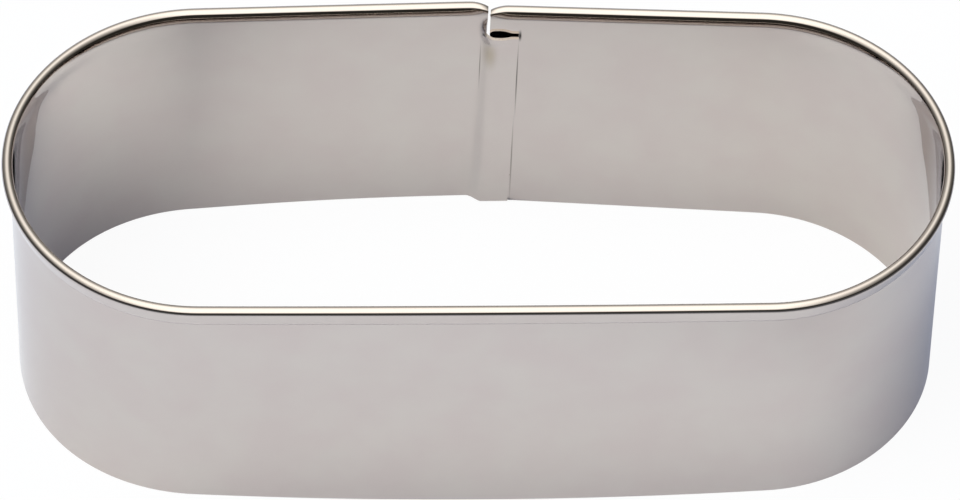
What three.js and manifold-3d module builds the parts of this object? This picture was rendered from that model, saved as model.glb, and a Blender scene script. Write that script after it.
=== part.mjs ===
// Oblong cake ring: one strip of bright steel sheet bent into a long hoop with round ends.
// Its top edge is rolled outwards over a thin wire. At the back the two strip ends meet: the left
// end steps inwards into a tab, which lies inside the right end and is spot welded to it.
// Millimetres, +Z up. The foot edge lies on z = 0 and the seam is at +Y.
import * as THREE from 'three';
import { mergeVertices } from 'three/addons/utils/BufferGeometryUtils.js';
import Module from 'manifold-3d';

// The hoop, measured inside the wall. Its two ends were bent to slightly different radii.
const INSIDE_LENGTH_RIM = 136;
const INSIDE_LENGTH_FOOT = 136.4;
const LEFT_END_RADIUS = 27.3;
const RIGHT_END_RADIUS = 26.6;
const HEIGHT = 45;
const SHEET = 0.45;

// The long walls spring a little, more at the foot than at the stiff rim: the front bows out, and
// both halves of the back rise towards the seam, above the mean of the two end radii.
const FRONT_BOW_RIM = 0.2;
const FRONT_BOW_FOOT = 1.3;
const BACK_RISE_RIM = 1.15;
const BACK_RISE_FOOT = 2.35;

// The round ends swell at half their height, and the left one's corners are squarer at the foot.
const END_SWELL = 0.4;
const LEFT_FOOT_CORNERS = 0.3;

// The rolled rim: the wall flares, curls over the wire, and a tail closes in outside the wall. The
// flare is a bend and then a straight slope, and the tail's lip curls in a little more.
const WIRE_DIAMETER = 0.6;
const WIRE_CLEARANCE = 0.07;
const FLARE_RADIUS = 2.6;
const FLARE_ANGLE = THREE.MathUtils.degToRad(22);
const FLARE_LENGTH = 0.65;
const HEM_HEIGHT = 3.6;
const HEM_MOUTH = 0.48;
const LIP_LENGTH = 0.7;
const LIP_RADIUS = 1.4;

// The seam. Its line leans: the left end's rolled rim stops at one x on the rim plan, and the same
// edge would meet the foot plan at another. The left wall stands a little outside the right wall.
// The step into the tab starts half its run before that edge, so behind the tab the right end is cut
// back to clear it.
const SEAM_X_RIM = 1.8;
const SEAM_X_FOOT = 1.0;
const SEAM_OFFSET = 0.65;
const BUTT_GAP = 0.4;
const LAP_WIDTH = 4.4;
const LAP_GAP = 0.1;
const JOGGLE_RUN = 2;
const END_RELIEF = 1.1;
const NOTCH_DEPTH = 1.6;
const TAB_LIFT = 0.45;
const TAB_LIFT_RUN = 3;

// Spot welds: melted lenses that reach into both sheets of the lap.
const WELD_NAMES = ['spot_weld_lower', 'spot_weld_middle', 'spot_weld_upper'];
const WELD_DIAMETER = 2.4;
const WELD_DEPTH = 0.15;
const WELD_CLEARANCE = 0.03;

// Facets.
const RUN_STEPS = {
  rightWall: 2, rightEnd: 24, front: 8, leftEnd: 24, leftWall: 2, joggle: 4, tabRoot: 4, tab: 2,
};
const WALL_STEPS = 4;
const FLARE_STEPS = 2;
const BEAD_STEPS = 6;
const LIP_STEPS = 2;
const LIFT_STEPS = 3;
const FADE_STEPS = 4;
const WIRE_SIDES = 10;
const WELD_SIDES = 14;
const WELD_RINGS = 8;

// Sizes that follow from the ones above.
const CURL_RADIUS = WIRE_DIAMETER / 2 + WIRE_CLEARANCE;
const BEAD_RADIUS = CURL_RADIUS + SHEET;
const FLARE_TURN = new THREE.Vector2(Math.cos(FLARE_ANGLE), -Math.sin(FLARE_ANGLE));
const FLARE_SLOPE = new THREE.Vector2(Math.sin(FLARE_ANGLE), Math.cos(FLARE_ANGLE));
const BEAD_FROM_FLARE = FLARE_SLOPE.clone()
  .multiplyScalar(FLARE_LENGTH)
  .addScaledVector(FLARE_TURN, BEAD_RADIUS - FLARE_RADIUS);
const FLARE_START = HEIGHT - BEAD_RADIUS - BEAD_FROM_FLARE.y;
const FLARE_CENTRE = new THREE.Vector2(FLARE_RADIUS, FLARE_START);
const BEAD_CENTRE = FLARE_CENTRE.clone().add(BEAD_FROM_FLARE);
const TAB_TOP = HEIGHT - HEM_HEIGHT - NOTCH_DEPTH;
const TAB_FLAT_TOP = TAB_TOP - TAB_LIFT_RUN;
const JOGGLE_DEPTH = SEAM_OFFSET + LAP_GAP + SHEET;

const wasm = await Module();
wasm.setup();

// Angle, seen from a circle's centre, where the tangent from an outside point touches the circle.
function tangentAngle(centre, radius, point, side) {
  const reach = point.clone().sub(centre);
  return reach.angle() + side * Math.acos(radius / reach.length());
}

function along(start, direction, distance) {
  return start.clone().addScaledVector(direction, distance);
}

// Plan of the wall's inside face, clockwise from the right strip end round to the tip of the tab.
function plan(insideLength, backRise, frontBow, seamX) {
  const leftCentre = new THREE.Vector2(LEFT_END_RADIUS - insideLength / 2, 0);
  const rightCentre = new THREE.Vector2(insideLength / 2 - RIGHT_END_RADIUS, 0);
  const meanRadius = (LEFT_END_RADIUS + RIGHT_END_RADIUS) / 2;
  const peak = new THREE.Vector2(seamX - JOGGLE_RUN / 2, meanRadius + backRise);
  const rightTouch = tangentAngle(rightCentre, RIGHT_END_RADIUS, peak, -1);
  const outward = new THREE.Vector2(Math.cos(rightTouch), Math.sin(rightTouch));
  const rightwards = new THREE.Vector2(outward.y, -outward.x);

  const leftPeak = along(peak, outward, SEAM_OFFSET);
  const leftTouch = tangentAngle(leftCentre, LEFT_END_RADIUS, leftPeak, 1);
  const rimEnd = along(leftPeak, rightwards, JOGGLE_RUN / 2);
  const tabStart = along(leftPeak, rightwards, JOGGLE_RUN);
  const tabEnd = along(rimEnd, rightwards, BUTT_GAP + LAP_WIDTH);
  const rightStart = along(peak, rightwards, JOGGLE_RUN / 2 + BUTT_GAP);

  // The front is one flat arc that touches both end arcs. It bows out by frontBow from the straight
  // line that would touch them, and is deepest a little to one side of that line's middle.
  const spread = rightCentre.x - leftCentre.x;
  const taper = LEFT_END_RADIUS - RIGHT_END_RADIUS;
  const tilt = Math.asin(taper / spread);
  const lineLength = spread * Math.cos(tilt);
  const deepest = lineLength / 2 - (frontBow * taper) / lineLength;
  const frontRadius = LEFT_END_RADIUS + (deepest ** 2 + frontBow ** 2) / (2 * frontBow);
  const frontCentre = new THREE.Vector2(deepest, frontRadius - LEFT_END_RADIUS - frontBow)
    .rotateAround(new THREE.Vector2(), tilt)
    .add(leftCentre);
  const frontTouch = Math.atan2(rightCentre.y - frontCentre.y, rightCentre.x - frontCentre.x);
  const frontStop = Math.atan2(leftCentre.y - frontCentre.y, leftCentre.x - frontCentre.x);

  const clockwiseArc = (centre, radius, from, to) =>
    new THREE.EllipseCurve(centre.x, centre.y, radius, radius, from, to, true);
  const rightEnd = clockwiseArc(rightCentre, RIGHT_END_RADIUS, rightTouch, frontTouch);
  const leftEnd = clockwiseArc(leftCentre, LEFT_END_RADIUS, frontStop, leftTouch);
  return {
    rightWall: new THREE.LineCurve(rightStart, rightEnd.getPoint(0)),
    rightEnd,
    front: clockwiseArc(frontCentre, frontRadius, frontTouch, frontStop),
    leftEnd,
    leftWall: new THREE.LineCurve(leftEnd.getPoint(1), leftPeak),
    joggle: new THREE.LineCurve(leftPeak, rimEnd),
    tabRoot: new THREE.LineCurve(rimEnd, tabStart),
    tab: new THREE.LineCurve(tabStart, tabEnd),
  };
}

const footPlan = plan(INSIDE_LENGTH_FOOT, BACK_RISE_FOOT, FRONT_BOW_FOOT, SEAM_X_FOOT);
const rimPlan = plan(INSIDE_LENGTH_RIM, BACK_RISE_RIM, FRONT_BOW_RIM, SEAM_X_RIM);

// A station is a place along the strip where its section stands: a point on the foot plan, the
// matching point on the rim plan, the way outwards, how far its edge is cut back, how much of the
// seam's step it has, and how far it stands out at half its height and at the foot.
function stationAt(run, share, nextRun) {
  const tangent = rimPlan[run].getTangent(share);
  if (share === 1 && nextRun) tangent.add(rimPlan[nextRun].getTangent(0));
  const outward = new THREE.Vector2(-tangent.y, tangent.x).normalize();
  const joggles = {
    joggle: THREE.MathUtils.smoothstep(share, 0, 2),
    tabRoot: THREE.MathUtils.smoothstep(share, -1, 1),
    tab: 1,
  };
  const swells = { rightEnd: END_SWELL, leftEnd: END_SWELL };
  const corners = { leftEnd: LEFT_FOOT_CORNERS };
  return {
    foot: footPlan[run].getPoint(share),
    rim: rimPlan[run].getPoint(share),
    outward,
    relief: 0,
    joggle: joggles[run] ?? 0,
    swell: (swells[run] ?? 0) * Math.sin(Math.PI * share) ** 2,
    corner: (corners[run] ?? 0) * Math.sin(2 * Math.PI * share) ** 2,
  };
}

function stationsOf(runs) {
  const stations = [stationAt(runs[0], 0)];
  runs.forEach((run, i) => {
    const steps = RUN_STEPS[run];
    for (let step = 1; step <= steps; step += 1) {
      stations.push(stationAt(run, step / steps, runs[i + 1]));
    }
  });
  return stations;
}

// How far the stepped end lies inside the plan: level along the tab, a little more at its lifted
// top edge, and fading out in the wall above it, before the rolled rim.
function stepInset(z) {
  const lifted = JOGGLE_DEPTH + TAB_LIFT * THREE.MathUtils.smoothstep(z, TAB_FLAT_TOP, TAB_TOP);
  return lifted * (1 - THREE.MathUtils.smoothstep(z, TAB_TOP, FLARE_START));
}

function arc(centre, radius, from, to, steps) {
  return Array.from({ length: steps + 1 }, (_, i) => {
    const angle = THREE.MathUtils.lerp(from, to, i / steps);
    return new THREE.Vector2(radius, 0).rotateAround(new THREE.Vector2(), angle).add(centre);
  });
}

// The rolled rim's half of the section, from the inside of the wall over the bead to the tail's
// raw edge, and back inside the curl to the outside of the wall. x is outwards, y is up.
function hemOutline() {
  const flareEnd = Math.PI - FLARE_ANGLE;
  const beadTop = Math.PI / 2;
  const rawEdge = new THREE.Vector2(SHEET + HEM_MOUTH, HEIGHT - HEM_HEIGHT);
  const tailTouch = tangentAngle(BEAD_CENTRE, CURL_RADIUS, rawEdge, 1) - 2 * Math.PI;
  const tailOutward = new THREE.Vector2(Math.cos(tailTouch), Math.sin(tailTouch));
  const tailUp = new THREE.Vector2(-tailOutward.y, tailOutward.x);
  const lipCentre = along(along(rawEdge, tailUp, LIP_LENGTH), tailOutward, SHEET - LIP_RADIUS);
  const lipEnd = tailTouch - LIP_LENGTH / LIP_RADIUS;
  return [
    ...arc(FLARE_CENTRE, FLARE_RADIUS, Math.PI, flareEnd, FLARE_STEPS).slice(1),
    ...arc(BEAD_CENTRE, BEAD_RADIUS, flareEnd, beadTop, BEAD_STEPS),
    ...arc(BEAD_CENTRE, BEAD_RADIUS, beadTop, tailTouch, BEAD_STEPS).slice(1),
    ...arc(lipCentre, LIP_RADIUS, tailTouch, lipEnd, LIP_STEPS),
    ...arc(lipCentre, LIP_RADIUS - SHEET, lipEnd, tailTouch, LIP_STEPS),
    ...arc(BEAD_CENTRE, CURL_RADIUS, tailTouch, beadTop, BEAD_STEPS),
    ...arc(BEAD_CENTRE, CURL_RADIUS, beadTop, flareEnd, BEAD_STEPS).slice(1),
    ...arc(FLARE_CENTRE, FLARE_RADIUS - SHEET, flareEnd, Math.PI, FLARE_STEPS).slice(0, -1),
  ];
}

// Section points hold x outwards, z up, and how far the full step moves them inwards.
const tabLevels = [];
for (let i = 0; i < WALL_STEPS; i += 1) {
  tabLevels.push((TAB_FLAT_TOP * i) / WALL_STEPS);
}
for (let i = 0; i <= LIFT_STEPS; i += 1) {
  tabLevels.push(THREE.MathUtils.lerp(TAB_FLAT_TOP, TAB_TOP, i / LIFT_STEPS));
}
const wallLevels = [...tabLevels];
for (let i = 1; i <= FADE_STEPS; i += 1) {
  wallLevels.push(THREE.MathUtils.lerp(TAB_TOP, FLARE_START, i / FADE_STEPS));
}
const wallFace = (x, levels) => levels.map((z) => ({ x, z, inset: stepInset(z) }));
const stripSection = [
  ...wallFace(0, wallLevels),
  ...hemOutline().map(({ x, y }) => ({ x, z: y, inset: 0 })),
  ...wallFace(SHEET, wallLevels).reverse(),
];
const wireSection = arc(BEAD_CENTRE, WIRE_DIAMETER / 2, 0, -2 * Math.PI, WIRE_SIDES)
  .slice(1)
  .map(({ x, y }) => ({ x, z: y, inset: 0 }));

function place({ foot, rim, outward, relief, joggle, swell, corner }, { x, z, inset }) {
  const onPlan = foot.clone().lerp(rim, z / HEIGHT);
  const standsOut = swell * Math.sin((Math.PI * z) / HEIGHT) + corner * (1 - z / HEIGHT);
  const cutBack = relief * (1 - THREE.MathUtils.smoothstep(z, TAB_FLAT_TOP, TAB_TOP));
  const onwards = new THREE.Vector2(outward.y, -outward.x);
  const spot = along(along(onPlan, outward, x + standsOut - joggle * inset), onwards, cutBack);
  return new THREE.Vector3(spot.x, spot.y, z);
}

// A closed skin that is built row by row along the strip. A row holds the numbers of its corners,
// up one face of the section and down the other, so that corners face each other in pairs.
function startSkin() {
  const positions = [];
  const triangles = [];
  return {
    addRow(station, section) {
      return section.map((point) => {
        positions.push(...place(station, point).toArray());
        return positions.length / 3 - 1;
      });
    },
    bridge(row, nextRow) {
      row.forEach((corner, i) => {
        const k = (i + 1) % row.length;
        triangles.push(corner, nextRow[i], row[k], row[k], nextRow[i], nextRow[k]);
      });
    },
    // Fills a row with a ladder between its two faces, facing back along the strip or forwards.
    close(row, facesBack) {
      const loop = facesBack ? row : row.toReversed();
      for (let i = 0; i < loop.length / 2 - 1; i += 1) {
        const [opposite, nextOpposite] = [loop.at(-1 - i), loop.at(-2 - i)];
        triangles.push(loop[i], loop[i + 1], nextOpposite, loop[i], nextOpposite, opposite);
      }
    },
    geometry() {
      const made = new THREE.BufferGeometry();
      made.setAttribute('position', new THREE.Float32BufferAttribute(positions, 3));
      made.setIndex(triangles);
      return made;
    },
  };
}

const HOOP_RUNS = ['rightWall', 'rightEnd', 'front', 'leftEnd', 'leftWall', 'joggle'];
const hoopStations = stationsOf(HOOP_RUNS);
hoopStations[0].relief = END_RELIEF;
const tabStations = stationsOf(['tabRoot', 'tab']).slice(1);

// The band is skinned with its full section as far as the end of the rolled rim. There the part
// above the notch is closed, and the part below it goes on as the tab.
function bandGeometry() {
  const skin = startSkin();
  const rows = hoopStations.map((station) => skin.addRow(station, stripSection));
  rows.slice(1).forEach((row, i) => skin.bridge(rows[i], row));
  skin.close(rows[0], true);

  const levels = tabLevels.length;
  const tabPart = (row) => [...row.slice(0, levels), ...row.slice(-levels)];
  const rimEnd = rows.at(-1);
  skin.close(rimEnd.slice(levels - 1, rimEnd.length - levels + 1), false);
  let row = tabPart(rimEnd);
  tabStations.forEach((station) => {
    const nextRow = skin.addRow(station, tabPart(stripSection));
    skin.bridge(row, nextRow);
    row = nextRow;
  });
  skin.close(row, false);
  return skin.geometry();
}

function wireGeometry() {
  const skin = startSkin();
  const rows = hoopStations.map((station) => skin.addRow(station, wireSection));
  rows.slice(1).forEach((row, i) => skin.bridge(rows[i], row));
  skin.close(rows[0], true);
  skin.close(rows.at(-1), false);
  return skin.geometry();
}

// Welds stand in one line up the middle of the lap, spread evenly over the tab's flat height.
function weldGeometry(index, clearance) {
  const tabEnd = BUTT_GAP + LAP_WIDTH;
  const lapMiddle = (BUTT_GAP + END_RELIEF + tabEnd) / 2;
  const station = stationAt('tab', (lapMiddle - JOGGLE_RUN / 2) / (tabEnd - JOGGLE_RUN / 2));
  const z = (TAB_FLAT_TOP * (index + 0.5)) / WELD_NAMES.length;
  const centre = place(station, { x: -SEAM_OFFSET - LAP_GAP / 2, z, inset: 0 });
  const upwards = new THREE.Vector3(...station.rim.clone().sub(station.foot), HEIGHT).normalize();
  const sideways = new THREE.Vector3(station.outward.y, -station.outward.x, 0);
  const through = sideways.clone().cross(upwards).normalize();
  const radius = WELD_DIAMETER / 2 + clearance;
  const halfHeight = LAP_GAP / 2 + WELD_DEPTH + clearance;
  const basis = new THREE.Matrix4().makeBasis(sideways, through, sideways.clone().cross(through));
  return new THREE.SphereGeometry(1, WELD_SIDES, WELD_RINGS)
    .scale(radius, halfHeight, radius)
    .applyMatrix4(basis)
    .translate(...centre);
}

function solidOf(geometry) {
  geometry.deleteAttribute('normal');
  geometry.deleteAttribute('uv');
  const merged = mergeVertices(geometry);
  return new wasm.Manifold(new wasm.Mesh({
    numProp: 3,
    vertProperties: new Float32Array(merged.attributes.position.array),
    triVerts: new Uint32Array(merged.index.array),
  }));
}

function geometryOf(solid) {
  const mesh = solid.getMesh();
  const made = new THREE.BufferGeometry();
  made.setAttribute('position', new THREE.Float32BufferAttribute(mesh.vertProperties, mesh.numProp));
  made.setIndex([...mesh.triVerts]);
  return made;
}

function bandWithWeldSeats() {
  return WELD_NAMES.reduce(
    (band, _, i) => band.subtract(solidOf(weldGeometry(i, WELD_CLEARANCE))),
    solidOf(bandGeometry()),
  );
}

const brightSheet = new THREE.MeshStandardMaterial({ color: 0xbfb9b6, roughness: 0.25, metalness: 1 });
const drawnWire = new THREE.MeshStandardMaterial({ color: 0x9d9a97, roughness: 0.4, metalness: 1 });
const weldMetal = new THREE.MeshStandardMaterial({ color: 0x8f8983, roughness: 0.55, metalness: 1 });

function piece(name, geometry, material) {
  const mesh = new THREE.Mesh(geometry, material);
  mesh.name = name;
  return mesh;
}

const cakeRing = new THREE.Group();
cakeRing.name = 'cake_ring';
cakeRing.add(piece('band', geometryOf(bandWithWeldSeats()), brightSheet));
cakeRing.add(piece('rim_wire', wireGeometry(), drawnWire));
WELD_NAMES.forEach((name, i) => cakeRing.add(piece(name, weldGeometry(i, 0), weldMetal)));

// The origin is on the foot plane, in the middle of the ring's outer box.
const middle = new THREE.Box3().setFromObject(cakeRing).getCenter(new THREE.Vector3());
cakeRing.position.set(-middle.x, -middle.y, 0);

export default cakeRing;
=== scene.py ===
"""Looks of an oblong cake ring: a strip of bright steel sheet with a rolled rim, lapped at the back."""

import math

import bmesh
import bpy
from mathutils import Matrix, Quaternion, Vector


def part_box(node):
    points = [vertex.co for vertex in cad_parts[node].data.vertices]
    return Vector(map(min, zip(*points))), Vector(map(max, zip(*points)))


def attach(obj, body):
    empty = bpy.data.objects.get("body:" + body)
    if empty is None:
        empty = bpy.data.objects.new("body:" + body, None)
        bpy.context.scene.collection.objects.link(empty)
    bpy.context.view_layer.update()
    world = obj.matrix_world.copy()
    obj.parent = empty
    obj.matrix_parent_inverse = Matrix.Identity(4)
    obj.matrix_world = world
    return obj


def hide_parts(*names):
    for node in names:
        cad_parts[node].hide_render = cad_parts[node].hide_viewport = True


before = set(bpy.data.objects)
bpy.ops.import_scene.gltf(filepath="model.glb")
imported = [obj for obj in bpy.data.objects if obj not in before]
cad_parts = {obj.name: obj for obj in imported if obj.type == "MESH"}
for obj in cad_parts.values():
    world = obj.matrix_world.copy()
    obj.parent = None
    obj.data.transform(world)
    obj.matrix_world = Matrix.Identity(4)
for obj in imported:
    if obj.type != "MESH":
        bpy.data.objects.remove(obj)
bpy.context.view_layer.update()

# Sizes are in millimetres, and meshes are scaled to metres when they are finished.
MM = 0.001

# The hoop, measured inside the wall.
INSIDE_LENGTH = {"rim": 136.0, "foot": 135.7}
LEFT_END_RADIUS = 27.3
RIGHT_END_RADIUS = 26.6
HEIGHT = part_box("band")[1].z / MM
SHEET = 0.45

# How far the long walls spring at the rim and at the foot: the front bows out, the back rises to the seam.
FRONT_BOW = {"rim": 0.2, "foot": 1.3}
BACK_RISE = {"rim": 1.15, "foot": 2.45}

# The shoulders of the round ends are drawn in at half their height. At the foot the left end is squarer, and
# the back wall on that side bows out.
SHOULDERS_IN = 0.5
LEFT_FOOT_CORNERS = 0.3
LEFT_FOOT_BOW = 0.42

# The rolled rim: the wall flares, curls over the wire, and a tail closes in outside the wall.
WIRE_DIAMETER = 0.6
WIRE_CLEARANCE = 0.07
FLARE_RADIUS = 2.4
FLARE_ANGLE = math.radians(28)
FLARE_LENGTH = 0.3
HEM_HEIGHT = 3.6
HEM_MOUTH = 0.48
LIP_LENGTH = 0.7
LIP_RADIUS = 1.4

# The seam: the left end steps in at the joggle and laps inside the right end, which is cut back behind it.
# The tab narrows towards the foot, where its corner is cut a little short.
SEAM_X = {"rim": 1.69, "foot": 0.89}
SEAM_OFFSET = {"rim": 0.65, "foot": 0.6}
BUTT_GAP = 0.38
LAP_WIDTH = 4.4
LAP_GAP = 0.1
TAB_TAPER = 0.45
TAB_FOOT_RISE = 0.45
TAB_FOOT_RISE_REACH = 10.0
JOGGLE_RUN = 2.6
JOGGLE_LEAN = 0.9
END_RELIEF = 1.1
END_RELIEF_RUN = 4.0
NOTCH_DEPTH = 1.6
NOTCH_FILLET = 0.3
NOTCH_SLANT = 0.4
NOTCH_SLANT_RUN = 2.5
# The tab's top edge is lifted off the wall, by these shares at its sides and over an arch in between.
TAB_LIFT = 0.45
TAB_LIFT_RUN = 3.0
TAB_LIFT_AT_SIDES = 0.5
TAB_LIFT_ARCH = 0.8
TAB_LIFT_ARCH_SPAN = 0.8

# Where the strip was cut, the rolled rim is squeezed smaller over a short run, and loses most of its flare.
SQUEEZE_RUN = 2.4
SQUEEZE = 0.26
SQUEEZE_TURN = 0.85
RELAX_RUN = 3.2
RELAX = 0.75

# At the tips of the round ends the wall stands further out, under the bead, with no flare.
# At their shoulders it bulges out below the flare.
RELAX_AT_TIPS = 1.0
RELAX_AT_TIPS_POWER = 4
BULGE = 0.16
BULGE_REACH = 8.0
BULGE_TOP = 2.4

EDGE_ROUNDING = 0.1
EDGE_ROUNDING_STEPS = 3
EDGE_ANGLE = math.radians(60)

# Columns of the strip's mesh in each run, and rows in each stretch of its height.
COLUMNS = {
    "right_wall": 30,
    "right_end": 84,
    "front": 60,
    "left_end": 84,
    "left_wall": 30,
    "joggle": 16,
    "tab_root": 16,
    "tab": 14,
}
RUNS = list(COLUMNS)
WALL_ROWS = 14
LIFT_ROWS = 8
FADE_ROWS = 8
FLARE_ROWS = 12
BEAD_ROWS = 36
TAIL_ROWS = 12
FINE_STEP = 0.1
WIRE_SIDES = 12

# Sizes that follow from the ones above.
CURL_RADIUS = WIRE_DIAMETER / 2 + WIRE_CLEARANCE
BEAD_RADIUS = CURL_RADIUS + SHEET
FLARE_RISE = (FLARE_RADIUS - BEAD_RADIUS) * math.sin(FLARE_ANGLE) + FLARE_LENGTH * math.cos(FLARE_ANGLE)
FLARE_REACH = FLARE_LENGTH * math.sin(FLARE_ANGLE) - (FLARE_RADIUS - BEAD_RADIUS) * math.cos(FLARE_ANGLE)
FLARE_START = HEIGHT - BEAD_RADIUS - FLARE_RISE
FLARE_CENTRE = Vector((FLARE_RADIUS, FLARE_START))
BEAD_CENTRE = FLARE_CENTRE + Vector((FLARE_REACH, FLARE_RISE))
STANDOUT = BEAD_CENTRE.x - BEAD_RADIUS
TAB_TOP = HEIGHT - HEM_HEIGHT - NOTCH_DEPTH
TAB_FLAT_TOP = TAB_TOP - TAB_LIFT_RUN


def spoke(angle):
    return Vector((math.cos(angle), math.sin(angle)))


def angle_to(centre, point):
    return math.atan2(point.y - centre.y, point.x - centre.x)


def touch_angle(centre, radius, point, side):
    """Angle on a circle where the tangent from an outside point touches it."""
    return angle_to(centre, point) + side * math.acos(radius / (point - centre).length)


def smoothstep(low, high, value):
    share = min(max((value - low) / (high - low), 0.0), 1.0)
    return share * share * (3 - 2 * share)


class Straight:
    def __init__(self, start, end):
        self.start, self.end = start, end
        self.length = (end - start).length

    def point(self, share):
        return self.start.lerp(self.end, share)

    def outward(self, share):
        along = (self.end - self.start).normalized()
        return Vector((-along.y, along.x))


class Arc:
    """A clockwise arc."""

    def __init__(self, centre, radius, begin, end):
        self.centre, self.radius, self.begin, self.end = centre, radius, begin, end
        self.length = radius * (begin - end)

    def outward(self, share):
        return spoke(self.begin + (self.end - self.begin) * share)

    def point(self, share):
        return self.centre + self.outward(share) * self.radius


def plan(level):
    """The wall's inside line at the rim or the foot, clockwise from the right strip end to the tab's tip."""
    half_length = INSIDE_LENGTH[level] / 2
    left = Vector((LEFT_END_RADIUS - half_length, 0))
    right = Vector((half_length - RIGHT_END_RADIUS, 0))
    bow = FRONT_BOW[level]
    peak_height = (LEFT_END_RADIUS + RIGHT_END_RADIUS) / 2 + BACK_RISE[level]
    peak = Vector((SEAM_X[level] - JOGGLE_RUN / 2, peak_height))
    right_touch = touch_angle(right, RIGHT_END_RADIUS, peak, -1)
    outward = spoke(right_touch)
    rightwards = Vector((outward.y, -outward.x))
    left_peak = peak + outward * SEAM_OFFSET[level]
    left_touch = touch_angle(left, LEFT_END_RADIUS, left_peak, 1) - 2 * math.pi
    rim_end = left_peak + rightwards * JOGGLE_RUN / 2
    tab_start = left_peak + rightwards * JOGGLE_RUN

    # The front is one flat arc that touches both ends and bows out from the straight line between them.
    spread = right.x - left.x
    taper = LEFT_END_RADIUS - RIGHT_END_RADIUS
    tilt = math.asin(taper / spread)
    line_length = spread * math.cos(tilt)
    deepest = line_length / 2 - bow * taper / line_length
    front_radius = LEFT_END_RADIUS + (deepest ** 2 + bow ** 2) / (2 * bow)
    rise = front_radius - LEFT_END_RADIUS - bow
    front = left + spoke(tilt) * deepest + spoke(tilt + math.pi / 2) * rise
    front_touch = angle_to(front, right)
    front_stop = angle_to(front, left)

    right_end = Arc(right, RIGHT_END_RADIUS, right_touch, front_touch)
    left_end = Arc(left, LEFT_END_RADIUS, front_stop, left_touch)
    return {
        "right_wall": Straight(peak + rightwards * (JOGGLE_RUN / 2 + BUTT_GAP), right_end.point(0)),
        "right_end": right_end,
        "front": Arc(front, front_radius, front_touch, front_stop),
        "left_end": left_end,
        "left_wall": Straight(left_end.point(1), left_peak),
        "joggle": Straight(left_peak, rim_end),
        "tab_root": Straight(rim_end, tab_start),
        "tab": Straight(tab_start, rim_end + rightwards * (BUTT_GAP + LAP_WIDTH)),
    }


RIM = plan("rim")
FOOT = plan("foot")
RUN_STARTS = {run: sum(RIM[before].length for before in RUNS[:i]) for i, run in enumerate(RUNS)}
RIM_END = RUN_STARTS["tab_root"]
STRIP_END = RUN_STARTS["tab"] + RIM["tab"].length


def run_at(along):
    """The run that holds a distance along the strip, and the share of it that is done there."""
    run = max((run for run in RUNS if RUN_STARTS[run] <= along), key=RUN_STARTS.get, default=RUNS[0])
    return run, (along - RUN_STARTS[run]) / RIM[run].length


def step_inset(z, tab_share):
    """How far the stepped end lies inside the plan. The tab's top edge is lifted, most near its middle."""
    arch = math.sin(math.pi * min(tab_share / TAB_LIFT_ARCH_SPAN, 1.0))
    lift = TAB_LIFT * (TAB_LIFT_AT_SIDES + TAB_LIFT_ARCH * arch)
    offset = SEAM_OFFSET["foot"] + (SEAM_OFFSET["rim"] - SEAM_OFFSET["foot"]) * z / HEIGHT
    lifted = offset + LAP_GAP + SHEET + lift * smoothstep(TAB_FLAT_TOP, TAB_TOP, z)
    return lifted * (1 - smoothstep(TAB_TOP, FLARE_START, z))


def swell_at(run, share, z):
    """How far the strip stands outside its plan."""
    if run == "left_wall":
        return LEFT_FOOT_BOW * math.sin(math.pi * share) * (1 - z / HEIGHT)
    if run not in ("left_end", "right_end"):
        return 0.0
    corners = -SHOULDERS_IN * math.sin(math.pi * z / HEIGHT)
    if run == "left_end":
        corners += LEFT_FOOT_CORNERS * (1 - z / HEIGHT)
    return corners * math.sin(2 * math.pi * share) ** 2


def squeeze_at(along):
    """Share of its size that the rolled rim loses, like part of an ellipse next to each cut end."""
    distance = min(along, abs(RIM_END - along))
    inner = SQUEEZE_TURN * (1 - min(distance / SQUEEZE_RUN, 1.0))
    return SQUEEZE * (1 - math.sqrt(1 - inner ** 2)) / (1 - math.sqrt(1 - SQUEEZE_TURN ** 2))


# The hem's section: the raw edge's inner corner, where the tail leaves the bead, and lengths along the sheet.
RAW_EDGE = Vector((SHEET + HEM_MOUTH, HEIGHT - HEM_HEIGHT))
TAIL_TOUCH = touch_angle(BEAD_CENTRE, CURL_RADIUS, RAW_EDGE, 1) - 2 * math.pi
TAIL_LENGTH = math.sqrt((RAW_EDGE - BEAD_CENTRE).length_squared - CURL_RADIUS ** 2)
FLARE_BEND_END = FLARE_START + FLARE_RADIUS * FLARE_ANGLE
FLARE_TOP = FLARE_BEND_END + FLARE_LENGTH
BEAD_CREST = FLARE_TOP + BEAD_RADIUS * (math.pi / 2 - FLARE_ANGLE)
BEAD_END = FLARE_TOP + BEAD_RADIUS * (math.pi - FLARE_ANGLE - TAIL_TOUCH)
STRIP_TOP = BEAD_END + TAIL_LENGTH


def section(up):
    """The sheet's inside face as (outwards, height): up the wall, round flare and bead, down the tail."""
    if up <= FLARE_START:
        return Vector((0, up))
    if up <= FLARE_TOP:
        turned = math.pi - (min(up, FLARE_BEND_END) - FLARE_START) / FLARE_RADIUS
        on_bend = FLARE_CENTRE + spoke(turned) * FLARE_RADIUS
        return on_bend + spoke(turned - math.pi / 2) * max(up - FLARE_BEND_END, 0)
    turned = max(math.pi - FLARE_ANGLE - (up - FLARE_TOP) / BEAD_RADIUS, TAIL_TOUCH)
    on_bead = BEAD_CENTRE + spoke(turned) * BEAD_RADIUS
    down = min(max(up - BEAD_END, 0), TAIL_LENGTH - LIP_LENGTH)
    on_tail = on_bead + spoke(turned - math.pi / 2) * down
    curled = max(up - BEAD_END - down, 0) / LIP_RADIUS
    return on_tail + (spoke(turned - curled) - spoke(turned)) * LIP_RADIUS


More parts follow.
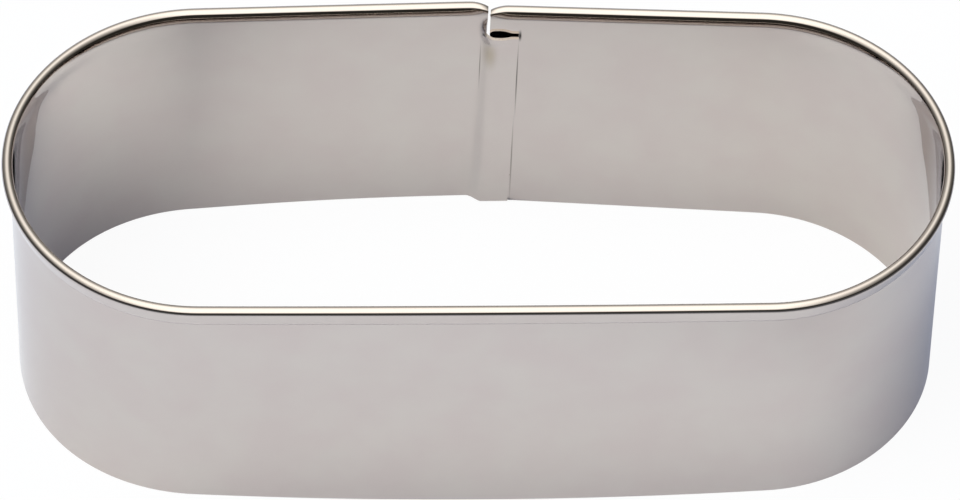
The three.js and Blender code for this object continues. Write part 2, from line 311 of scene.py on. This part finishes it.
def unflared(up):
    """The same without a flare: the wall stands straight under the bead and runs into it."""
    if up >= BEAD_CREST:
        return section(up)
    plain_length = FLARE_RISE + BEAD_RADIUS * math.pi / 2
    climbed = up - FLARE_START
    if climbed > 0:
        climbed *= plain_length / (BEAD_CREST - FLARE_START)
    turned = math.pi - max(climbed - FLARE_RISE, 0) / BEAD_RADIUS
    below_bead = Vector((0, min(climbed - FLARE_RISE, 0)))
    return BEAD_CENTRE + below_bead + spoke(turned) * BEAD_RADIUS


def relaxed(along, up):
    """A point of the section. Near the cut ends a weaker flare draws the bead in, and at the tips of the
    round ends the wall stands out under it.
    """
    run, share = run_at(along)
    if run in ("left_end", "right_end"):
        lost = RELAX_AT_TIPS * math.sin(math.pi * share) ** RELAX_AT_TIPS_POWER
        point = section(up).lerp(unflared(up), lost)
        crest = FLARE_START - BULGE_TOP
        bulge = smoothstep(FLARE_START - BULGE_REACH, crest, up) - smoothstep(crest, FLARE_START, up)
        return point + Vector((BULGE * math.sin(2 * math.pi * share) ** 2 * bulge, 0))
    distance = min(along, abs(RIM_END - along))
    lost = RELAX * (1 - smoothstep(0, RELAX_RUN, distance))
    return section(up).lerp(unflared(up) - Vector((STANDOUT, 0)), lost)


def bend(along, point):
    """Puts a section point where the strip carries it, in millimetres."""
    run, share = run_at(along)
    outward = RIM[run].outward(share)
    if run == "joggle":
        outward = RIM["left_wall"].outward(1).lerp(outward, share).normalized()
    step_middle = RIM_END - JOGGLE_LEAN * (1 - point.y / HEIGHT)
    joggle = smoothstep(step_middle - JOGGLE_RUN / 2, step_middle + JOGGLE_RUN / 2, along)
    tab_share = max(along - RIM_END, 0) / (STRIP_END - RIM_END)
    rise = TAB_FOOT_RISE * tab_share * max(1 - point.y / TAB_FOOT_RISE_REACH, 0)
    point = point + Vector((0, rise))
    hem_base = Vector((0, FLARE_START))
    if point.y > FLARE_START or point.x > 0:
        point = hem_base + (point - hem_base) * (1 - squeeze_at(along))
    inset = joggle * step_inset(point.y, tab_share)
    on_plan = FOOT[run].point(share).lerp(RIM[run].point(share), point.y / HEIGHT)
    relief = END_RELIEF * (1 - smoothstep(TAB_FLAT_TOP, TAB_TOP, point.y))
    cut_back = relief * max(1 - along / END_RELIEF_RUN, 0)
    near_notch = 1 - smoothstep(0, NOTCH_SLANT_RUN, abs(along - RIM_END))
    at_notch = smoothstep(TAB_FLAT_TOP, TAB_TOP, point.y) - smoothstep(TAB_TOP, FLARE_START, point.y)
    cut_back -= NOTCH_SLANT * near_notch * at_notch + TAB_TAPER * tab_share * (1 - point.y / HEIGHT)
    onwards = Vector((outward.y, -outward.x))
    spot = on_plan + outward * (point.x - inset + swell_at(run, share, point.y)) + onwards * cut_back
    return Vector((spot.x, spot.y, point.y))


def spread_steps(low, high, steps):
    return [low + (high - low) * i / steps for i in range(steps + 1)]


def strip_columns():
    """Distances along the strip: even in each run, with fine ones at the cut ends and at the notch."""
    even = [
        along
        for run in RUNS
        for along in spread_steps(RUN_STARTS[run], RUN_STARTS[run] + RIM[run].length, COLUMNS[run])
    ]
    at_right_end = spread_steps(0, SQUEEZE_RUN, round(SQUEEZE_RUN / FINE_STEP))
    at_rim_end = [RIM_END - along for along in at_right_end]
    fillet = spread_steps(RIM_END, RIM_END + NOTCH_FILLET, round(NOTCH_FILLET / FINE_STEP))
    fine_zones = ((0, SQUEEZE_RUN), (RIM_END - SQUEEZE_RUN, RIM_END + NOTCH_FILLET))
    kept = [a for a in even if not any(low <= a <= high for low, high in fine_zones)]
    return sorted({round(a, 5) for a in kept + at_right_end + at_rim_end + fillet})


def strip_rows():
    """Heights along the sheet, with a row at the tab's top edge and fine ones in the notch's corner."""
    fillet_top = TAB_TOP + NOTCH_FILLET
    return sorted({
        round(up, 5)
        for up in (
            spread_steps(0, TAB_FLAT_TOP, WALL_ROWS)
            + spread_steps(TAB_FLAT_TOP, TAB_TOP, LIFT_ROWS)
            + spread_steps(TAB_TOP, fillet_top, round(NOTCH_FILLET / FINE_STEP))
            + spread_steps(fillet_top, FLARE_START, FADE_ROWS)
            + spread_steps(FLARE_START, FLARE_TOP, FLARE_ROWS)
            + spread_steps(FLARE_TOP, BEAD_END, BEAD_ROWS)
            + spread_steps(BEAD_END, STRIP_TOP, TAIL_ROWS)
        )
    })


def flat_blank():
    """The strip as it was cut, lying flat: x along it, y across it, with one corner notched away."""
    columns, rows = strip_columns(), strip_rows()
    blank = bmesh.new()
    bmesh.ops.create_grid(blank, x_segments=len(columns) - 1, y_segments=len(rows) - 1, size=0.5)
    for vert in blank.verts:
        column = round((vert.co.x + 0.5) * (len(columns) - 1))
        row = round((vert.co.y + 0.5) * (len(rows) - 1))
        vert.co = (columns[column], rows[row], 0)

    corner = Vector((RIM_END, TAB_TOP, 0))
    fillet_centre = corner + Vector((NOTCH_FILLET, NOTCH_FILLET, 0))

    def beyond_corner(spot):
        return spot.x > corner.x and spot.y > corner.y

    def in_fillet(spot):
        near = spot.x <= fillet_centre.x and spot.y <= fillet_centre.y
        return near and (spot - fillet_centre).length > NOTCH_FILLET

    middles = {face: face.calc_center_median() for face in blank.faces}
    waste = [face for face, spot in middles.items() if beyond_corner(spot) and not in_fillet(spot)]
    bmesh.ops.delete(blank, geom=waste, context="FACES")
    for vert in blank.verts:
        inside = vert.is_boundary and beyond_corner(vert.co)
        if inside and vert.co.x < fillet_centre.x and vert.co.y < fillet_centre.y:
            vert.co = fillet_centre + (vert.co - fillet_centre).normalized() * NOTCH_FILLET
    return blank


def ring_centre():
    """Middle of the ring's outer box, which is the origin of the frame."""
    reach = FLARE_TOP + BEAD_RADIUS * (math.pi - FLARE_ANGLE)
    outline = [bend(along, relaxed(along, reach)) for along in strip_columns() if along <= RIM_END]
    low = Vector(map(min, *outline))
    high = Vector(map(max, *outline))
    return Vector(((low.x + high.x) / 2, (low.y + high.y) / 2, 0))


CENTRE = ring_centre()


def add_object(name, mesh_builder, materials):
    mesh = bpy.data.meshes.new(name)
    mesh_builder.to_mesh(mesh)
    mesh_builder.free()
    for material in materials:
        mesh.materials.append(material)
    made = bpy.data.objects.new(name, mesh)
    bpy.context.scene.collection.objects.link(made)
    return made


def finish_piece(name, mesh_builder, materials):
    """Makes a piece of a finished mesh, smooth and riding with the ring's one body."""
    piece = add_object(name, mesh_builder, materials)
    piece.data.shade_smooth()
    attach(piece, "root")
    return piece


def make_band(materials):
    """The strip, rolled and bent, with the thickness of the sheet. Its UV map is the flat blank in metres."""
    strip = flat_blank()
    blank_place = strip.loops.layers.uv.new("blank")
    for face in strip.faces:
        for loop in face.loops:
            loop[blank_place].uv = loop.vert.co.xy * MM
    for vert in strip.verts:
        along, up, _ = vert.co
        vert.co = (bend(along, relaxed(along, up)) - CENTRE) * MM
    band = finish_piece("steel_band", strip, materials)

    wall = band.modifiers.new("sheet", "SOLIDIFY")
    wall.thickness = SHEET * MM
    wall.offset = -1
    wall.use_even_offset = True
    wall.use_quality_normals = True
    wall.material_offset_rim = 1
    rounding = band.modifiers.new("worn_edges", "BEVEL")
    rounding.width = EDGE_ROUNDING * MM
    rounding.segments = EDGE_ROUNDING_STEPS
    rounding.limit_method = "ANGLE"
    rounding.angle_limit = EDGE_ANGLE
    rounding.harden_normals = True
    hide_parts("band")
    return band


def make_wire(material):
    """The wire inside the rolled rim. It stops where the rim is squeezed at the cut ends."""
    begin, end = SQUEEZE_RUN, RIM_END - SQUEEZE_RUN
    wire = bmesh.new()
    bmesh.ops.create_cone(
        wire,
        cap_ends=True,
        segments=WIRE_SIDES,
        radius1=WIRE_DIAMETER / 2,
        radius2=WIRE_DIAMETER / 2,
        depth=1,
    )
    lengthwise = [edge for edge in wire.edges if abs(edge.verts[0].co.z - edge.verts[1].co.z) > 0.5]
    bmesh.ops.subdivide_edges(wire, edges=lengthwise, cuts=sum(COLUMNS.values()), use_grid_fill=True)
    for vert in wire.verts:
        along = begin + (vert.co.z + 0.5) * (end - begin)
        crest = relaxed(along, BEAD_CREST)
        vert.co = (bend(along, crest - Vector((0, BEAD_RADIUS)) + vert.co.xy) - CENTRE) * MM
    bmesh.ops.recalc_face_normals(wire, faces=wire.faces)
    piece = finish_piece("wire_in_rim", wire, [material])
    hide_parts("rim_wire")
    return piece


def linear(hex_colour):
    """Turns an sRGB hex colour to the linear RGBA that shaders take."""
    channels = [int(hex_colour[i:i + 2], 16) / 255 for i in (0, 2, 4)]
    return [c / 12.92 if c <= 0.04045 else ((c + 0.055) / 1.055) ** 2.4 for c in channels] + [1.0]


def add(tree, kind, sockets, **settings):
    """Adds a node. Settings are its own properties; sockets gives inputs a value or an output to link."""
    made = tree.nodes.new(kind)
    for name, value in settings.items():
        setattr(made, name, value)
    for key, value in sockets.items():
        if isinstance(value, bpy.types.NodeSocket):
            tree.links.new(value, made.inputs[key])
        else:
            made.inputs[key].default_value = value
    return made


def new_material(name):
    material = bpy.data.materials.new(name)
    material.use_nodes = True
    material.node_tree.nodes.clear()
    return material, material.node_tree


# Marks on the strip, as a place along it and up it with half sizes: painted shade in the crevice along the
# tab's edge in two stretches, painted shade at the top of that edge and in the notch's corner, painted shade
# along a crease where the step begins, and the tint from a weld's heat at the tab's root.
MARKS = [
    # Painted shade in the crevice along the tab's edge, in two stretches.
    {"at": (LAP_WIDTH - 0.09, 30), "half": (0.17, 12), "colour": "59544f", "strength": 0.9},
    {"at": (LAP_WIDTH - 0.29, 10), "half": (0.17, 14), "colour": "6d6761", "strength": 0.7},
    # Painted shade at the top of the tab's edge.
    {"at": (LAP_WIDTH + 0.12, TAB_TOP - 0.1), "half": (0.36, 1.7), "colour": "0e0c0b", "strength": 1.0},
    # Painted shade in the notch's corner.
    {"at": (RIM_END - 0.1, TAB_TOP - 0.1), "half": (0.45, 0.5), "colour": "14110f", "strength": 1.0},
    # Painted shade along the crease where the step begins.
    {"at": (RIM_END - 0.9, 32), "half": (0.11, 7), "colour": "6d665f", "strength": 0.9},
    {"at": (RIM_END + 0.5, 35.4), "half": (1.7, 4.6), "colour": "a3977f", "strength": 0.6},
]


def uneven_polish(tree, place, grain_size, smoothest, roughest):
    """Roughness that wanders between two values over a grain of the given size."""
    grain = add(tree, "ShaderNodeTexNoise", {"Vector": place, "Scale": 1 / grain_size, "Detail": 2.0})
    polish = add(
        tree, "ShaderNodeMapRange",
        {
            "Value": grain.outputs["Fac"],
            "From Min": 0.3,
            "From Max": 0.7,
            "To Min": smoothest,
            "To Max": roughest,
        },
    )
    return polish.outputs["Result"]


def finish_metal(tree, colour, roughness, more_sockets):
    """Ends a material's nodes as bare metal."""
    steel = add(
        tree, "ShaderNodeBsdfPrincipled",
        {"Base Color": colour, "Metallic": 1.0, "Roughness": roughness, **more_sockets},
    )
    add(tree, "ShaderNodeOutputMaterial", {"Surface": steel.outputs["BSDF"]})


def marked_tone(tree, blank, tone):
    """Lays the marks over the sheet's tone, each fading from its middle to its edge."""
    for mark in MARKS:
        away = add(
            tree, "ShaderNodeVectorMath",
            {0: blank, 1: Vector((*mark["at"], 0)) * MM}, operation="SUBTRACT",
        )
        reach = [1 / (half * MM) for half in mark["half"]]
        scaled = add(
            tree, "ShaderNodeVectorMath", {0: away.outputs[0], 1: (*reach, 0)}, operation="MULTIPLY"
        )
        far = add(tree, "ShaderNodeVectorMath", {0: scaled.outputs[0]}, operation="LENGTH")
        share = add(
            tree, "ShaderNodeMapRange",
            {"Value": far.outputs["Value"], "To Min": mark["strength"], "To Max": 0.0},
            interpolation_type="SMOOTHSTEP",
        )
        marked = add(
            tree, "ShaderNodeMix",
            {"Factor": share.outputs["Result"], "A": tone, "B": linear(mark["colour"])},
            data_type="RGBA",
        )
        tone = marked.outputs["Result"]
    return tone


def cold_rolled_steel():
    """Bright cold-rolled stainless sheet: a soft mirror, slightly warm, with soft clouds in its tone.

    The marks are painted shade in the crevices, the notch's corner and the crease, and a straw tint by the
    weld.
    """
    material, tree = new_material("cold_rolled_steel_bright")
    grain_size = 0.25 * MM
    cloud_size = 9 * MM
    blank = add(tree, "ShaderNodeUVMap", {}, uv_map="blank").outputs["UV"]
    cloud = add(tree, "ShaderNodeTexNoise", {"Vector": blank, "Scale": 1 / cloud_size, "Detail": 3.0})
    mottle = add(
        tree, "ShaderNodeMapRange",
        {"Value": cloud.outputs["Fac"], "From Min": 0.35, "From Max": 0.65},
    )
    sheet_tone = add(
        tree, "ShaderNodeMix",
        {"Factor": mottle.outputs["Result"], "A": linear("c9bfb9"), "B": linear("cbc3bc")},
        data_type="RGBA",
    )
    tone = marked_tone(tree, blank, sheet_tone.outputs["Result"])
    polish = uneven_polish(tree, blank, grain_size, 0.04, 0.07)
    finish_metal(tree, tone, polish, {"Specular Tint": linear("fafbfe")})
    return material


def sheared_edge():
    """The sheet's cut edge: the same steel, torn a little rough by the shears."""
    material, tree = new_material("sheared_steel_edge")
    tear_size = 0.2 * MM
    place = add(tree, "ShaderNodeTexCoord", {}).outputs["Object"]
    finish_metal(tree, linear("bdb7b3"), uneven_polish(tree, place, tear_size, 0.25, 0.42), {})
    return material


def drawn_wire():
    """Drawn steel wire: duller than the sheet, with fine marks from the die."""
    material, tree = new_material("drawn_steel_wire")
    mark_size = 0.15 * MM
    place = add(tree, "ShaderNodeTexCoord", {}).outputs["Object"]
    finish_metal(tree, linear("9d9a97"), uneven_polish(tree, place, mark_size, 0.3, 0.45), {})
    return material


def weld_metal():
    """Spot weld: steel that melted and froze between the sheets, matt and grainy."""
    material, tree = new_material("spot_weld_steel")
    crystal_size = 0.3 * MM
    place = add(tree, "ShaderNodeTexCoord", {}).outputs["Object"]
    crystals = add(tree, "ShaderNodeTexVoronoi", {"Vector": place, "Scale": 1 / crystal_size})
    polish = add(
        tree, "ShaderNodeMapRange",
        {"Value": crystals.outputs["Distance"], "To Min": 0.45, "To Max": 0.65},
    )
    finish_metal(tree, linear("8f8983"), polish.outputs["Result"], {})
    return material


# The floor. Glossy rays don't see the camera's white: to them it is lit about the pool's centre, and far away
# from it the floor is painted dark.
FLOOR_HALF_WIDTH = 2000
FLOOR_COLOUR = "c6ccda"
FLOOR_GLOW_SEEN = 0.94
POOL_CENTRE = Vector((-20, 70, 0))
POOL_FULL_WITHIN = 128
POOL_GONE_BEYOND = 210
POOL_DIMMING = 0.9


def make_floor():
    """A pale floor, white to the camera, with a soft shadow. In the steel it is a pool of light on painted
    dark ground.
    """
    material, tree = new_material("pale_floor")
    path = add(tree, "ShaderNodeLightPath", {})
    place = add(tree, "ShaderNodeTexCoord", {}).outputs["Object"]
    matt = add(tree, "ShaderNodeBsdfDiffuse", {"Color": linear(FLOOR_COLOUR)})
    white = add(tree, "ShaderNodeEmission", {"Color": (1, 1, 1, 1), "Strength": 1.0})
    seen = add(
        tree, "ShaderNodeMath",
        {0: path.outputs["Is Camera Ray"], 1: FLOOR_GLOW_SEEN}, operation="MULTIPLY",
    )
    paper = add(tree, "ShaderNodeMixShader", {0: seen.outputs[0], 1: matt.outputs[0], 2: white.outputs[0]})

    reflected = add(
        tree, "ShaderNodeMath",
        {0: path.outputs["Is Glossy Ray"], 1: path.outputs["Is Transmission Ray"]}, operation="MAXIMUM",
    )
    way_out = add(tree, "ShaderNodeVectorMath", {0: place, 1: POOL_CENTRE * MM}, operation="DISTANCE")
    dimming = add(
        tree, "ShaderNodeMapRange",
        {
            "Value": way_out.outputs["Value"],
            "From Min": POOL_FULL_WITHIN * MM,
            "From Max": POOL_GONE_BEYOND * MM,
            "To Min": 0.0,
            "To Max": POOL_DIMMING,
        },
        interpolation_type="SMOOTHSTEP",
    )
    share = add(
        tree, "ShaderNodeMath",
        {0: reflected.outputs[0], 1: dimming.outputs["Result"]}, operation="MULTIPLY",
    )
    dark = add(tree, "ShaderNodeBsdfDiffuse", {"Color": (0, 0, 0, 1)})
    floor_shader = add(
        tree, "ShaderNodeMixShader", {0: share.outputs[0], 1: paper.outputs[0], 2: dark.outputs[0]}
    )
    add(tree, "ShaderNodeOutputMaterial", {"Surface": floor_shader.outputs[0]})

    sheet = bmesh.new()
    bmesh.ops.create_grid(sheet, x_segments=1, y_segments=1, size=FLOOR_HALF_WIDTH * MM)
    floor = add_object("floor", sheet, [material])


# The studio: a wide soft sky of light and a smaller, stronger lamp in it, over a dim surround. The camera
# sees a white backdrop instead. Leans are in degrees from straight up, towards the left and the front.
SKY = {"colour": "f2f4fc", "left": 8, "front": 15, "full_within": 0, "gone_beyond": 88, "strength": 1.27}
LAMP = {"colour": "fff7de", "left": 23, "front": 8, "full_within": 6, "gone_beyond": 28, "strength": 8.3}
# Glossy rays see a long light in place of sky and lamp, from the front over the top to the back. Its tones
# run from the far left to the far right. It fades low down, sooner in front, and is weaker towards the back.
LONG_LIGHT_COLOUR = "f8f7f1"
LONG_LIGHT_STRENGTH = 1.75
LONG_LIGHT_TONES = {-1.0: 0.18, -0.5: 0.72, -0.15: 1.0, 0.15: 0.95, 0.5: 0.42, 0.75: 0.18, 1.0: 0.04}
LONG_LIGHT_LOW = -0.1
LONG_LIGHT_FULL = 0.3
LONG_LIGHT_FRONT_LOSS = 0.38
LONG_LIGHT_BEHIND = 0.35
LONG_LIGHT_OVERHEAD = 1.2
LONG_LIGHT_BACKWARD_LOSS = -0.2
LONG_LIGHT_BEHIND_BELOW = 0.25
LONG_LIGHT_OVERHEAD_ABOVE = 0.95
SURROUND_COLOUR = "efe9db"
SURROUND_STRENGTH = 0.035


def light_patch(tree, way, patch):
    """A round patch of light on the studio's dome, fading towards its edge."""
    leans = [math.tan(math.radians(patch[side])) for side in ("left", "front")]
    middle = Vector((-leans[0], -leans[1], 1)).normalized()
    nearness = add(tree, "ShaderNodeVectorMath", {0: way, 1: middle}, operation="DOT_PRODUCT")
    strength = add(
        tree, "ShaderNodeMapRange",
        {
            "Value": nearness.outputs["Value"],
            "From Min": math.cos(math.radians(patch["gone_beyond"])),
            "From Max": math.cos(math.radians(patch["full_within"])),
            "To Min": 0.0,
            "To Max": patch["strength"],
        },
        interpolation_type="SMOOTHSTEP",
    )
    return add(
        tree, "ShaderNodeBackground",
        {"Color": linear(patch["colour"]), "Strength": strength.outputs["Result"]},
    )


def long_light(tree, way):
    """The light that the steel mirrors: its side tone times its tone by height."""
    across, depth, up = add(tree, "ShaderNodeSeparateXYZ", {"Vector": way}).outputs
    tones = add(
        tree, "ShaderNodeMapRange",
        {"Value": across, "From Min": -1.0, "From Max": 1.0, "To Min": 0.0, "To Max": 1.0},
    )
    side_tone = add(tree, "ShaderNodeValToRGB", {"Fac": tones.outputs["Result"]})
    ramp = side_tone.color_ramp
    ramp.interpolation = "CARDINAL"
    while len(ramp.elements) < len(LONG_LIGHT_TONES):
        ramp.elements.new(1.0)
    for stop, (place, tone) in zip(ramp.elements, LONG_LIGHT_TONES.items()):
        stop.position = (place + 1) / 2
        stop.color = (tone, tone, tone, 1)
    height = add(
        tree, "ShaderNodeMath", {0: depth, 1: LONG_LIGHT_FRONT_LOSS, 2: up}, operation="MULTIPLY_ADD"
    )
    low_fade = add(
        tree, "ShaderNodeMapRange",
        {
            "Value": height.outputs[0],
            "From Min": LONG_LIGHT_LOW,
            "From Max": LONG_LIGHT_FULL,
            "To Min": 0.0,
            "To Max": LONG_LIGHT_STRENGTH,
        },
        interpolation_type="SMOOTHSTEP",
    )
    lean = add(
        tree, "ShaderNodeMath", {0: depth, 1: LONG_LIGHT_BACKWARD_LOSS, 2: up}, operation="MULTIPLY_ADD"
    )
    overhead = add(
        tree, "ShaderNodeMapRange",
        {
            "Value": lean.outputs[0],
            "From Min": LONG_LIGHT_BEHIND_BELOW,
            "From Max": LONG_LIGHT_OVERHEAD_ABOVE,
            "To Min": LONG_LIGHT_BEHIND,
            "To Max": LONG_LIGHT_OVERHEAD,
        },
        interpolation_type="SMOOTHSTEP",
    )
    high_tone = add(
        tree, "ShaderNodeMath",
        {0: overhead.outputs["Result"], 1: low_fade.outputs["Result"]}, operation="MULTIPLY",
    )
    strength = add(
        tree, "ShaderNodeMath",
        {0: side_tone.outputs["Color"], 1: high_tone.outputs[0]}, operation="MULTIPLY",
    )
    return add(
        tree, "ShaderNodeBackground",
        {"Color": linear(LONG_LIGHT_COLOUR), "Strength": strength.outputs[0]},
    )


def make_studio():
    world = bpy.data.worlds.new("studio")
    bpy.context.scene.world = world
    world.use_nodes = True
    tree = world.node_tree
    tree.nodes.clear()
    way = add(tree, "ShaderNodeTexCoord", {}).outputs["Generated"]
    surround = add(
        tree, "ShaderNodeBackground",
        {"Color": linear(SURROUND_COLOUR), "Strength": SURROUND_STRENGTH},
    )
    lamps = add(
        tree, "ShaderNodeAddShader",
        {0: light_patch(tree, way, SKY).outputs[0], 1: light_patch(tree, way, LAMP).outputs[0]},
    )
    path = add(tree, "ShaderNodeLightPath", {})
    lit = add(
        tree, "ShaderNodeMixShader",
        {
            0: path.outputs["Is Glossy Ray"],
            1: lamps.outputs[0],
            2: long_light(tree, way).outputs[0],
        },
    )
    backdrop = add(tree, "ShaderNodeBackground", {"Color": (1, 1, 1, 1), "Strength": 1.0})
    dome = add(tree, "ShaderNodeAddShader", {0: lit.outputs[0], 1: surround.outputs[0]})
    shown = add(
        tree, "ShaderNodeMixShader",
        {0: path.outputs["Is Camera Ray"], 1: dome.outputs[0], 2: backdrop.outputs[0]},
    )
    add(tree, "ShaderNodeOutputWorld", {"Surface": shown.outputs[0]})


# The camera: a long lens from the front, well above the ring.
LENS = 309.24
SENSOR_WIDTH = 36.0
CAMERA_TARGET = Vector((0.477, 0.0, 22.611))
CAMERA_DISTANCE = 1226.8
CAMERA_ELEVATION = math.radians(50.839)
CAMERA_YAW = math.radians(1.484)
CAMERA_ROLL = math.radians(1.186)
CAMERA_NEAREST = 10
CAMERA_FARTHEST = 20000


def make_camera():
    lens = bpy.data.cameras.new("camera")
    lens.lens = LENS
    lens.sensor_width = SENSOR_WIDTH
    lens.clip_start = CAMERA_NEAREST * MM
    lens.clip_end = CAMERA_FARTHEST * MM
    camera = bpy.data.objects.new("camera", lens)
    back = Vector((
        -math.cos(CAMERA_ELEVATION) * math.sin(CAMERA_YAW),
        -math.cos(CAMERA_ELEVATION) * math.cos(CAMERA_YAW),
        math.sin(CAMERA_ELEVATION),
    ))
    camera.location = (CAMERA_TARGET + back * CAMERA_DISTANCE) * MM
    camera.rotation_mode = "QUATERNION"
    level = (-back).to_track_quat("-Z", "Y")
    camera.rotation_quaternion = level @ Quaternion((0, 0, 1), CAMERA_ROLL)
    bpy.context.scene.collection.objects.link(camera)
    bpy.context.scene.camera = camera


def dress_welds(material):
    """The spot welds keep their CAD shape and get the look of melted steel."""
    for name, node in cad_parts.items():
        if name.startswith("spot_weld"):
            node.data.materials.clear()
            node.data.materials.append(material)


def main():
    bpy.context.scene.view_settings.view_transform = "Standard"
    make_band([cold_rolled_steel(), sheared_edge()])
    make_wire(drawn_wire())
    dress_welds(weld_metal())
    make_floor()
    make_studio()
    make_camera()


main()
